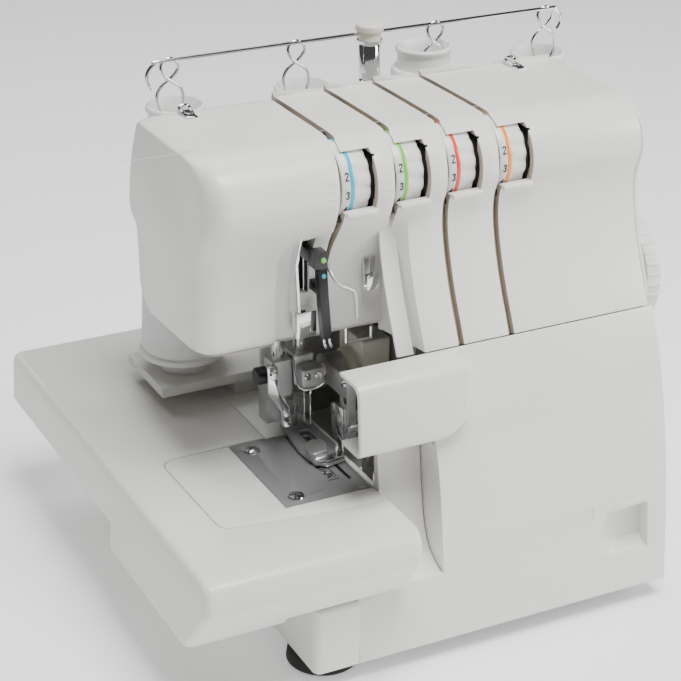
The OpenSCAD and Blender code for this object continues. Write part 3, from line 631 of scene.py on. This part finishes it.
# ---------------------------------------------------------------- pieces refined from the frame's own solids
def refine(node, mat, width=0.6, segments=2, angle=30, pick=None, pick_width=4.0):
    """A copy of the frame's solid with rounded edges; pick(p, q) names edges that get pick_width first."""
    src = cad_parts[node]
    obj = bpy.data.objects.new(node + "_piece", src.data.copy())
    bpy.context.collection.objects.link(obj)
    bm = bmesh.new()
    bm.from_mesh(obj.data)
    bmesh.ops.remove_doubles(bm, verts=bm.verts, dist=2e-6)
    bmesh.ops.dissolve_limit(bm, angle_limit=math.radians(1.0), verts=bm.verts, edges=bm.edges)
    if pick:
        chosen = []
        for e in bm.edges:
            a, b = ((v.co / MM) - Vector((SHIFT, 0, 0)) for v in e.verts)
            if len(e.link_faces) == 2 and e.calc_face_angle(0) > math.radians(50) and pick(a, b):
                chosen.append(e)
        bmesh.ops.bevel(bm, geom=chosen, offset=pick_width * MM, segments=6, profile=0.5, affect="EDGES",
                        clamp_overlap=True)
    bm.to_mesh(obj.data)
    bm.free()
    for a in list(obj.data.attributes):
        if a.name == "custom_normal":
            obj.data.attributes.remove(a)
    dress(obj, mat)
    if width:
        soften(obj, width, segments, angle)
    shade(obj, 34)
    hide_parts(node)
    return obj


# ---------------------------------------------------------------- looper cover with its finger recess
COVER = [(-135, 12.5), (-134.2, 22), (-133.4, 33), (-131.7, 54), (-129.6, 74), (-127, 93), (-124.8, 107),
         (-122, 120), (-117.6, 137), (-112.2, 154.5), (-107.6, 166), (-103.4, 175.1)]
line = curve(COVER, 3)
cover = along_x("looper_cover_shell", line + [(-101, 173.4), (-101, 12.5)], COVER_LEFT, RIGHT)
hollow = along_x("tool", [(-130, 8)] + [(y + 3, min(z, 172.1)) for y, z in line] + [(-90, 172.1), (-90, 8)],
                 COVER_LEFT + 3, RIGHT - 3)
cover = combine(cover, hollow)
cover = combine(cover, block("tool", (-60, -150, 53.4), (-0.6, -90, 132)))
cover = combine(cover, block("tool", (-60, -150, 131), (-8, -90, 180)))
cover = combine(cover, block("tool", (-60, -114, 40), (-1, -90, 54)))
cover = combine(cover, block("pad", (97, -131, 33), (137, -121.5, 69)), "UNION")
CUP = rounded([(101, 52), (107, 64), (134, 65.5), (134.5, 36), (110, 35.6), (101, 42)],
              [9, 3, 1.5, 1.5, 6, 8], 5)
deep = [(118 + (x - 118) * 0.62 + 6, 51 + (z - 51) * 0.66) for x, z in CUP]
cup = loft("tool", [[(x, -140, z) for x, z in CUP], [(x, -131.2, z) for x, z in CUP],
                    [(118 + (x - 118) * 0.9 + 1.5, -128.2, 51 + (z - 51) * 0.92) for x, z in CUP],
                    [(x, -123.8, z) for x, z in deep]])
cover = combine(cover, cup)
side = along_x("side", [(y, z) for y, z in line if 52 < z < 131] + [(-101.5, 130.6), (-101.5, 54)], -0.6, 1.8)
cover = combine(cover, side, "UNION")
dress(cover, WHITE)
soften(cover, 0.9, 3, 30)
shade(cover, 32)
place(cover, "front_cover", "white_plastic", "looper_cover")

# ---------------------------------------------------------------- knife guard
def guard_outline(d):
    """Outline of the guard, moved inward by d; its left end lies past the slanted cut."""
    box = [(-66 + d, 175.2 - d), (19.8 - d, 175.2 - d), (19.8 - d, 131.6 + d), (-66 + d, 131.6 + d)]
    return rounded(box, [0.3, max(5.5 - d, 0.3), 21.5 - d, 0.3], 12)


def guard_loops(d, y_front, y_back, r):
    """Loops from the guard's back to its front face with an edge radius r."""
    loops = [[(x, y_back, z) for x, z in guard_outline(d)]]
    for k in range(7):
        a = k / 6 * math.pi / 2
        loops.append([(x, y_front + r - r * math.sin(a), z) for x, z in guard_outline(d
                + r - r * math.cos(a))])
    return loops


guard = loft("knife_guard_shell", guard_loops(0, -126.4, -103.0, 6.5))
inner = loft("tool", guard_loops(2.8, -123.4, -95, 5.0))
guard = combine(guard, inner)
lean = along_y("tool", [(-80, 120), (-49.2, 120), (-51.2, 184), (-80, 184)], -140, -90)
guard = combine(guard, lean)
dress(guard, WHITE)
soften(guard, 1.0, 3, 40)
shade(guard, 34)
place(guard, "front_cover", "white_plastic", "knife_guard")

# ---------------------------------------------------------------- scooped wall beside the table
scoop = curve([(-131.2, 53.2), (-127, 54.6), (-121, 57.4), (-115, 62), (-110.5, 70), (-107.6, 80),
               (-105.2, 94), (-103.2, 110), (-101.6, 128)], 4)
wall = along_x("bay_scoop", scoop + [(-98.6, 128), (-98.6, 53.2)], -53.4, -1.1)
wall = combine(wall, block("tool", (-60, -140, 40), (-27.2, -90, 140)))
dress(wall, WHITE)
shade(soften(wall, 0.25, 2), 34)
place(wall, "machine", "white_plastic", "bay_wall")

# ---------------------------------------------------------------- extension table
def table_outline(z, d=0.0):
    """Plan of the table at height z, moved inward by d; its left and front faces slope."""
    prof = [(51, -155, -134), (56, -154.7, -138), (66, -154, -146), (74, -153.4, -152.2), (80, -153.2, -156),
            (85, -153, -157), (90, -152.7, -157), (93.4, -152.3, -156.2), (96, -151.6, -154.2),
            (97.3, -150.4, -152), (98, -148.6, -149.2)]
    xl = at([(p[0], p[1]) for p in prof], z)
    yf = at([(p[0], p[2]) for p in prof], z)
    return rounded([(xl + d, yf + d), (-27 - d, yf + d), (-27 - d, 157 - d), (xl + d, 157 - d)],
                   [5, 4.5, 3, 3], 6)


LEVELS = (51, 56, 61, 66, 70, 74, 77, 80, 82.5, 85, 87.5, 90, 91.8, 93.4, 94.8, 96, 96.8, 97.4, BED)
table = loft("extension_table_shell", [[(x, y, z) for x, y in table_outline(z)] for z in LEVELS])
inner = loft("tool", [[(x, y, z) for x, y in table_outline(max(z, 51), 3.2)]
                      for z in (40, 51, 60, 70, 80, 90, 94.6)])
table = combine(table, inner)
ARM = rounded([(-27.0, -113.6), (-60, -113.2), (-121.2, -104.5), (-122.6, -19.0), (-27.0, -17.8)],
              [0, 8, 8, 9, 0], 6)
table = combine(table, along_z("tool", ARM, 40, 120))
table = combine(table, block("tool", (-57.2, -30, 30), (0, 200, 120)))
# shallow rear part and the front arm's underside
table = combine(table, block("tool", (-200, -21.5, 30), (0, 200, 68)))
table = combine(table, block("tool", (-98.5, -200, 30), (0, -22, 56)))
table = combine(table, block("tool", (-98.5, -110, 30), (0, -22, 80)))
dress(table, WHITE)
soften(table, 0.7, 3, 34)
shade(table, 30)
web = rbox("web", (-152.4, -133, 62), (-124, -131, 95), 0.4)
table = join("extension_table_piece", [table, dress(web, WHITE)])
place(table, "table", "white_plastic", "extension_table")

# ---------------------------------------------------------------- free arm
ARM_TOP = rounded([(-27.4, -113.1), (-60, -112.7), (-120.7, -104.0), (-122.1, -19.5), (-27.4, -20.0)],
                  [0.5, 8, 8, 9, 0.5], 6)
arm = along_z("free_arm_shell", ARM_TOP, 60, BED)
ARM_IN = rounded([(-30.6, -109.9), (-60, -109.5), (-117.6, -101.4), (-118.9, -23.2), (-30.6, -23.2)],
                 [0, 6, 6, 6, 0], 6)
arm = combine(arm, along_z("tool", ARM_IN, 63, 94.2))
arm = combine(arm, block("tool", (-80.3, -98.3, 95.8), (-20, 0, 99)))
arm = combine(arm, block("tool", (-76, -92, 88), (-20, -24, 99)))
dress(arm, WHITE)
soften(arm, 0.45, 2, 34)
shade(arm, 32)
place(arm, "machine", "white_plastic", "free_arm")

# ---------------------------------------------------------------- base
def front_block_edge(a, b):
    """True for the long edges of the base's left front block, apart from those against the looper cover."""
    at_front = max(a.y, b.y) < -131 and max(a.x, b.x) < -50
    upright_or_top = abs(a.z - b.z) > 20 or min(a.z, b.z) > 50
    return at_front and upright_or_top and min(a.x, b.x) <= -56


place(refine("base_tub", WHITE, 0.8, 3, 30, front_block_edge, 4.2), "machine", "white_plastic")
place(refine("rear_cover", MATTE, 0.6), "machine", "white_matte")

# ---------------------------------------------------------------- needle plate and sewing area
plate = refine("needle_plate", PLATE, 0.2, 2)
plate = combine(plate, block("tool", (-47, -81.6, 97.2), (-40, -80.2, 99)))
place(plate, "machine", "plate_steel")
parts = []
for y, turn in ((-31, 0.6), (-90, 1.0)):
    head = lathe("screw", [(0, 96), (4.65, 96), (4.65, 98.8), (4.2, 99.4), (2.4, 99.9), (0, 100)],
                 (-70.5, y, 0), "z", 40)
    tool = block("tool", (-5.5, -0.65, 99.2), (5.5, 0.65, 101))
    for v in tool.data.vertices:
        x, q = v.co.x / MM - SHIFT, v.co.y / MM
        v.co.x = (x * math.cos(turn) - q * math.sin(turn) - 70.5 + SHIFT) * MM
        v.co.y = (x * math.sin(turn) + q * math.cos(turn) + y) * MM
    parts.append(dress(shade(combine(head, tool), 30), CHROME))
place(join("needle_plate_screws", parts), "machine", "bright_steel", "plate_screws")
tongue = [box_of(CHROME, "tongue", (-46.2, -79.8, 97.9), (-40.2, -66.5, 98.7), 0.3)]
for x in (-34.6, -33.2, -31.8):
    tongue.append(box_of(WHITE, "mark", (x, -97.2, 97.98), (x + 0.4, -94.6, 98.08), 0.04))
place(join("stitch_tongue", tongue), "machine", "bright_steel")

SOLE = rounded([(-43.8, -10), (-48.2, -46), (-46.4, -64), (-40.5, -68.6), (-29.5, -66.6), (-26.2, -61),
                (-29.0, -48), (-30.6, -10)], [1.2, 4, 4, 3, 3, 3, 4, 1.2], 5)
sole = along_z("sole", SOLE, 99, 101.1)
sole = combine(sole, block("tool", (-39.6, -44, 90), (-32.6, -25, 110)))
sole = shade(soften(dress(sole, STEEL), 0.35, 2), 34)
toe = loft("toe", [[(-45.5, -60, 100.4), (-27.5, -58, 100.4), (-27.5, -58, 101.4), (-45.5, -60, 101.4)],
                   [(-45.4, -65, 101.2), (-27.2, -63.4, 101.2), (-27.2, -63.4, 102.2), (-45.4, -65, 102.2)],
                   [(-40.8, -68.9, 102.6), (-29.4, -67, 102.6), (-29.4, -67, 103.5), (-40.8, -68.9, 103.5)]])
toe = shade(soften(dress(toe, CHROME), 0.3, 2), 40)
BLOCK = rounded([(-46.8, -50), (-48, -60), (-46.6, -63.4), (-37.6, -61.6), (-34.2, -54), (-35, -47),
                 (-42, -46)], [1, 2, 2, 2, 1.5, 1, 1], 4)
hump = shade(soften(dress(along_z("hump", BLOCK, 100.8, 106), STEEL), 0.8, 3), 34)
ears = [box_of(STEEL, "ear", (-37.6, -17.5, 100.8), (-35.4, -12.4, 114.2), 0.6),
        box_of(STEEL, "rail", (-30.6, -58, 100.8), (-28.9, -22, 106.4), 0.6),
        turned_of(CHROME, "pin", [(0, -40.6), (1.5, -40.4), (1.5, -29.6), (0, -29.4)], (0, -15, 112), "x",
                  20)]
place(join("presser_foot_piece", [sole, toe, hump] + ears), "foot", "satin_steel", "presser_foot")

bracket = refine("foot_bracket", STEEL, 0.7, 3)
SIDE = rounded([(-60.5, 149.6), (-54.6, 149.6), (-54.2, 134), (-47.4, 122), (-46.4, 110), (-51.5, 110),
                (-52.6, 120), (-60.5, 133)], [1.2, 1.2, 3, 3, 1, 1, 3, 3], 4)
side = shade(soften(dress(along_y("side", SIDE, -33.4, -30.2), CHROME), 0.4, 2), 34)
screw = lathe("screw", [(0, -34.9), (1.9, -34.9), (2.6, -34.2), (2.6, -33.3), (0, -33.3)], (-57.4, 0, 144),
              "y", 28)
place(join("foot_bracket_assembly", [bracket, side, dress(screw, CHROME)]), "presser_set", "satin_steel",
      "foot_bracket")
knob = [(0, -64.6), (4.2, -64.6), (5.2, -63.8), (5.2, -58.2), (4.6, -57.4), (2.6, -57.2), (2.2, -55),
        (0, -55)]
place(turned_of(BLACK, "foot_thumb_screw", knob, (0, -24, 141), "x", 40), "presser_set", "black_plastic",
      "foot_screw")
place(refine("presser_bar", CHROME, 0.3), "presser_set", "bright_steel")
place(refine("needle_bar", CHROME, 0.3), "needle_set", "bright_steel")
clamp = [box_of(STEEL, "clamp", (-43.4, -30.6, 133.6), (-30.6, -18, 152.4), 1.2, 3),
         box_of(CAST, "clamp", (-42.2, -39.4, 133.6), (-28.8, -29, 146.2), 1.0, 3)]
for x, z in ((-39.2, 142.2), (-32.4, 142.2)):
    clamp.append(turned_of(CHROME, "screw", [(0, -41.2), (1.6, -41.2), (2.2, -40.6), (2.2, -39.2),
                                             (0, -39.2)], (x, 0, z), "y", 24))
clamp.append(tube_of(CHROME, "loop", [(-43.9, -31, 151), (-44.1, -33, 146), (-44.1, -36, 140),
                                      (-43.6, -38.8, 136.2), (-40, -40.2, 134.6), (-34, -40.2, 134.6),
                                      (-30, -40, 136), (-28.4, -38, 138)], 0.7))
place(join("needle_clamp_piece", clamp), "needle_set", "satin_steel", "needle_clamp")
place(refine("needles", CHROME, 0.0), "needle_set", "bright_steel")
arm = refine("knife_arm", STEEL, 1.0, 3)
extra = [turned_of(CHROME, "disc", [(0, -26.6), (3.2, -26.6), (4.4, -25.9), (4.4, -24.6), (0, -24.6)],
                   (0, -46, 121.6), "x", 36), turned_of(CHROME, "screw",
                                                        [(0, -26.2), (2.0, -26.2), (2.6, -25.6), (2.6, -24.8),
        (0, -24.8)], (0, -57, 142.4), "x", 28), box_of(CAST, "strap", (-25.8, -54.6, 100),
                                                       (-24.2, -42.2, 118), 0.5)]
place(join("knife_arm_assembly", [arm] + extra), "knife_set", "satin_steel", "knife_arm")
place(refine("upper_knife", CHROME, 0.3), "knife_set", "bright_steel")
grip = [(0, -25), (2.1, -25), (2.1, -19.9), (5.4, -19.7), (6.2, -18.8), (6.2, -13.2), (5.4, -12.2),
        (3.8, -11.8), (0, -11.8)]
place(turned_of(BLACK, "knife_release_knob", grip, (0, -58, 132), "x", 36), "knife_set", "black_plastic",
      "knife_knob")
place(refine("knife_holder", CREAM, 1.6, 3), "machine", "cream_plastic")
place(refine("lower_knife", STEEL, 0.3), "machine", "satin_steel")
place(refine("upper_looper", CHROME, 0.5), "upper_loop", "bright_steel")
place(refine("lower_looper", CHROME, 0.5), "lower_loop", "bright_steel")
place(refine("feed_dogs", STEEL, 0.1, 1), "feed", "satin_steel")

# ---------------------------------------------------------------- thread path on the head
place(refine("take_up_plate", CHROME, 0.25), "machine", "bright_steel")
bar = loft("take_up_bar", [[(-49.4, -81.4, 184), (-44.0, -81.4, 184), (-44.0, -76.4, 184),
                            (-49.4, -76.4, 184)], [(-49.9, -79.0, 206), (-44.6, -79.0, 206),
                                                   (-44.6, -73.2, 206), (-49.9, -73.2, 206)],
                           [(-50.3, -77.8, 223.6), (-45.0, -77.8, 223.6), (-45.0, -72.2, 223.6),
                            (-50.3, -72.2, 223.6)]])
bar = shade(soften(dress(bar, BLACK), 0.7, 3), 30)
stem = box_of(BLACK, "stem", (-50, -74, 208), (-46, -62, 214), 0.5)
dot = turned_of(BLUE, "dot", [(0, -78.6), (1.3, -78.5), (1.4, -77.4), (0, -77.4)], (-47.5, 0, 219.6), "y", 24)
prongs = [tube_of(CHROME, "prong", [(x, -80, 186), (x, -80.6, 181.5), (x + 0.6, -82, 179.4)], 0.6)
          for x in (-48.4, -45.2)]
place(join("take_up_guide_piece", [bar, stem, dot] + prongs), "machine", "black_plastic", "take_up_guide")
lever = refine("take_up_lever", BLACK, 0.6, 3)
dot = turned_of(GREEN, "dot", [(0, -87.0), (1.4, -86.9), (1.5, -85.8), (0, -85.8)], (-51.6, 0, 232.4), "y",
                24)
place(join("take_up_lever_piece", [lever, dot]), "take_up", "black_plastic", "take_up_lever")
wire = tube("take_up_wire", [(-43.8, -50, 226), (-43.8, -68, 225.4), (-44, -79, 222), (-42.4, -83.6, 216.6),
                             (-36, -84, 212.6), (-32.4, -84, 210), (-31.2, -83.8, 205), (-30.4, -83.4, 194)],
            1.1)
place(dress(wire, STEEL), "take_up", "bright_steel", "take_up_arm")
place(refine("head_clip", CHROME, 0.3), "machine", "bright_steel")
place(refine("wire_guide", CHROME, 0.0), "machine", "bright_steel")
parts = []
for x in (-88, 117):
    parts.append(box_of(CHROME, "guide", (x - 3.2, -2, 289.8), (x + 3.2, 12.4, 291), 0.4))
    parts.append(tube_of(CHROME, "guide", [(x - 2.6, 3, 291), (x - 2.8, 8.4, 291.6), (x - 2.6, 11.6, 293.2),
                                           (x, 12, 293.8), (x + 2.6, 11.6, 293.2), (x + 2.8, 8.4, 291.6),
                                           (x + 2.6, 3, 291)], 0.9))
place(join("top_thread_guides", parts), "machine", "bright_steel", "top_guides")
lines = [box_of(GREYINK, "seam", (-150, -50.2, 289.86), (143.6, -49.9, 290.05), 0.05),
         box_of(GREYINK, "seam", (-89.7, -50, 289.86), (-89.35, -8, 290.06), 0.05)]
place(join("top_seam_lines", lines), "machine", "white_plastic")

# ---------------------------------------------------------------- spools, mast and guide bar
CONE_X = [-73, 7.3, 87.6, 167.9]
EYELET_X = [-76, 3, 95, 172]
place(refine("spool_stand", MATTE, 0.8), "machine", "white_matte")
cones = []
for i, x in enumerate(CONE_X):
    top = 292 if i == 2 else 278
    base = turned_of(CONETUBE, "cone", [(0, 124.2), (26.6, 124.2), (27, 125), (27, 127), (25.6, 128),
                                        (0, 128)], (x, STAND_Y, 0), "z", 72)
    body = turned_of(CONE, "cone", [(0, 127.6), (25, 127.6), (25.6, 130), (24.4, 150), (22.3, 200),
                                    (20.4, 250), (19.6, top - 15), (18.8, top - 13.4), (0, top - 13.4)],
                     (x, STAND_Y, 0), "z", 96)
    rim = turned_of(CONETUBE, "cone", [(0, top - 70), (13, top - 70), (13, top - 8), (14.6, top - 1.2),
                                       (15.4, top), (16.6, top - 0.2), (17.2, top - 1.2), (17, top - 3.4),
                                       (16, top - 4.6), (15.8, top - 14), (12.4, top - 14), (12, top - 71),
                                       (0, top - 71)], (x, STAND_Y, 0), "z", 72)
    cones += [base, body, rim]
place(join("thread_cone_set", cones), "machine", "thread", "thread_cones")
for name, body, z0, z1, r in (("mast_lower", "machine", 99, 267, 7.6),
                              ("mast_middle", "mast_mid", 104, 276, 6.24)):
    place(turned_of(CHROME, name + "_tube", [(0, z0), (r, z0), (r, z1 - 0.8), (r - 0.8, z1), (r - 1.4, z1),
                                             (0, z1 - 0.6)], (MAST_X, STAND_Y, 0), "z", 56), body,
          "bright_steel", name)
collar = turned_of(CHROME, "mast_top_tube", [(0, 110), (4.9, 110), (4.9, 277), (6.3, 277.2), (6.3, 296.6),
                                             (5.6, 297.6), (7.6, 298.2), (7.6, 300.2), (0, 300.4)],
                   (MAST_X, STAND_Y, 0), "z", 56)
place(collar, "mast_high", "bright_steel", "mast_top")
cap = turned_of(CREAM, "mast_cap_piece", [(0, 299.8), (6.6, 299.9), (6.8, 301), (6.9, 304.6), (8.3, 305.6),
                                          (8.6, 307), (8.5, 309), (7.6, 310), (0, 310.2)],
                (MAST_X, STAND_Y, 0), "z", 56)
place(cap, "mast_high", "cream_plastic", "mast_cap")
BAR = [(-87, 288), (-89.6, 292.6), (-88.8, 298.6), (-84.6, 302.8), (-78, GUIDE_Z), (0, GUIDE_Z),
       (90, GUIDE_Z), (172, GUIDE_Z), (178.4, 303), (182.6, 299), (183.6, 294.4), (181.2, 290)]
bars = [tube_of(CHROME, "bar", [(x, STAND_Y, z) for x, z in BAR], 1.15, 8)]
# one turn of the figure-eight wire eyelet, seen from the front; it passes over itself at the crossing
EIGHT = [(0, 1.2), (4.4, -1.4), (5.2, -5.8), (1.6, -10.6), (-5.2, -15.6), (-7.9, -22), (-6, -30), (0, -33.6),
         (6, -30), (7.9, -22), (5.2, -15.6), (-1.6, -10.6), (-5.2, -5.8), (-4.4, -1.4)]
for x in EYELET_X:
    path = []
    for k, (u, v) in enumerate(EIGHT):
        over = 0.9 if 3 <= k <= 5 else -0.9 if 10 <= k <= 12 else 0
        path.append((x + u, STAND_Y + over, GUIDE_Z + v))
    bars.append(tube_of(CHROME, "eyelet", path, 0.95, 4, 10, True, True))
place(join("guide_bar_piece", bars), "mast_high", "bright_steel", "guide_bar")

# ---------------------------------------------------------------- remaining small parts
for name, mat, width, body, finish in (("handwheel", WHITE, 0.4, "drive", "white_plastic"),
                                       ("feet", RUBBER, 0.5, "machine", "black_rubber"),
                                       ("power_switch", BLACK, 0.4, "switch", "black_plastic"),
                                       ("power_inlet", BLACK, 0.4, "machine", "black_plastic"),
                                       ("presser_lifter", BLACK, 0.6, "lifter", "black_plastic")):
    place(refine(name, mat, width), body, finish)
INNER = {"bottom_plate": STEEL, "frame_casting": CAST, "tension_posts": STEEL, "lamp": CONETUBE,
         "main_shaft": STEEL, "shaft_pulley": BLACK, "motor": CAST, "motor_pulley": STEEL,
         "drive_belt": RUBBER, "cover_rod": STEEL}
for name, mat in INNER.items():
    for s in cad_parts[name].material_slots:
        s.material = mat


# ---------------------------------------------------------------- stage, light and camera
bpy.ops.mesh.primitive_plane_add(size=6.0, location=(0, 0, 0))
floor = bpy.context.object
floor.name = "floor"
pale = material("floor_pale", (0.95, 0.95, 0.95), rough=0.7, vary=0.01, scale=3, bump=0.0, coat=0.0)
pale.node_tree.nodes["Principled BSDF"].inputs["Emission Color"].default_value = (1.0, 1.0, 1.0, 1.0)
pale.node_tree.nodes["Principled BSDF"].inputs["Emission Strength"].default_value = 0.38
dress(floor, pale)
world = bpy.context.scene.world or bpy.data.worlds.new("world")
bpy.context.scene.world = world
world.use_nodes = True
world.node_tree.nodes["Background"].inputs["Color"].default_value = (1.0, 1.0, 1.0, 1.0)
world.node_tree.nodes["Background"].inputs["Strength"].default_value = 0.07


def area(name, loc, target, size, power, colour=(1, 1, 1)):
    data = bpy.data.lights.new(name, "AREA")
    data.shape = "RECTANGLE"
    data.size, data.size_y = size
    data.energy = power
    data.color = colour
    obj = bpy.data.objects.new(name, data)
    bpy.context.collection.objects.link(obj)
    obj.location = loc
    obj.rotation_euler = (Vector(target) - Vector(loc)).to_track_quat("-Z", "Y").to_euler()


area("key", (0.0, -0.6, 1.7), (-0.05, -0.05, 0.1), (0.8, 0.8), 44)
area("right_front", (1.5, -0.9, 0.8), (0, 0, 0.18), (0.7, 0.9), 22)
area("top_back", (-0.1, 1.0, 1.6), (0, 0, 0.2), (1.6, 0.8), 14)

CAMERA_AT = ((-463.3 + SHIFT) * MM, -0.9356, 0.6208)  # metres
AZ, EL = math.radians(-26.40), math.radians(24.71)
cam_data = bpy.data.cameras.new("camera")
cam_data.lens = 103.4
cam_data.sensor_width = 36
cam_data.clip_end = 20
cam = bpy.data.objects.new("camera", cam_data)
bpy.context.collection.objects.link(cam)
right = Vector((math.cos(AZ), math.sin(AZ), 0))
back = Vector((math.sin(AZ) * math.cos(EL), -math.cos(AZ) * math.cos(EL), math.sin(EL)))
up = back.cross(right)
basis = Matrix((right, up, back)).transposed().to_4x4()
cam.matrix_world = Matrix.Translation(Vector(CAMERA_AT)) @ basis
bpy.context.scene.camera = cam
